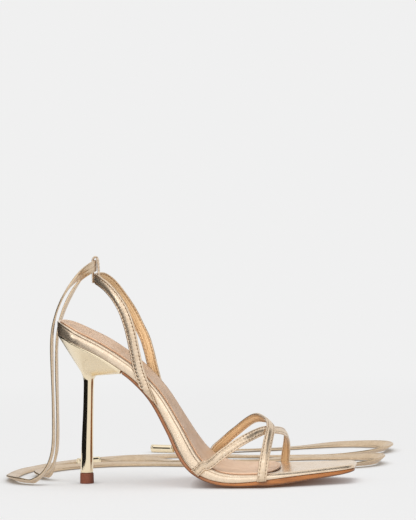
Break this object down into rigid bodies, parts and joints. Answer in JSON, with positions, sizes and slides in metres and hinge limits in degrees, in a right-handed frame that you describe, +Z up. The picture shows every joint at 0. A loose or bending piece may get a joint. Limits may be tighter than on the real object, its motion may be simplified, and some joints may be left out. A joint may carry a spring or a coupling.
{
  "type": "strappy stiletto heel",
  "caption": "Champagne gold strappy sandal with a square toe, crossed toe straps, a slim ankle band, a long wrap tie laid out on the floor, and a plated stiletto heel.",
  "frame": {"origin": "centre of the heel tip's flat bottom, on the floor", "axes": "+X from heel to toe, +Y to the medial (inner) side of a right shoe, +Z up"},
  "size_m": [0.2712, 0.2469, 0.1614],
  "materials": {
    "outsole": "brown leather outsole with a varnished edge",
    "footbed": "champagne gold foil leather, satin",
    "sock": "matt beige lining leather",
    "heel": "pale gold mirror plating",
    "heel_tip": "brown-red rubber",
    "toe_straps": "champagne gold foil leather, satin",
    "ankle_band": "champagne gold foil leather, satin",
    "tie_loop": "champagne gold foil leather, satin",
    "tie_lateral": "champagne gold foil strap",
    "tie_medial": "champagne gold foil strap",
    "aglet_lateral": "polished pale gold",
    "aglet_medial": "polished pale gold"
  },
  "bodies": {
    "root": {"outsole": "outsole", "footbed": "footbed", "sock": "sock", "heel": "heel", "heel_tip": "heel_tip", "toe_straps": "toe_straps", "ankle_band": "ankle_band", "tie_loop": "tie_loop", "tie_lateral": "tie_lateral", "tie_medial": "tie_medial", "aglet_lateral": "aglet_lateral", "aglet_medial": "aglet_medial"}
  },
  "joints": []
}
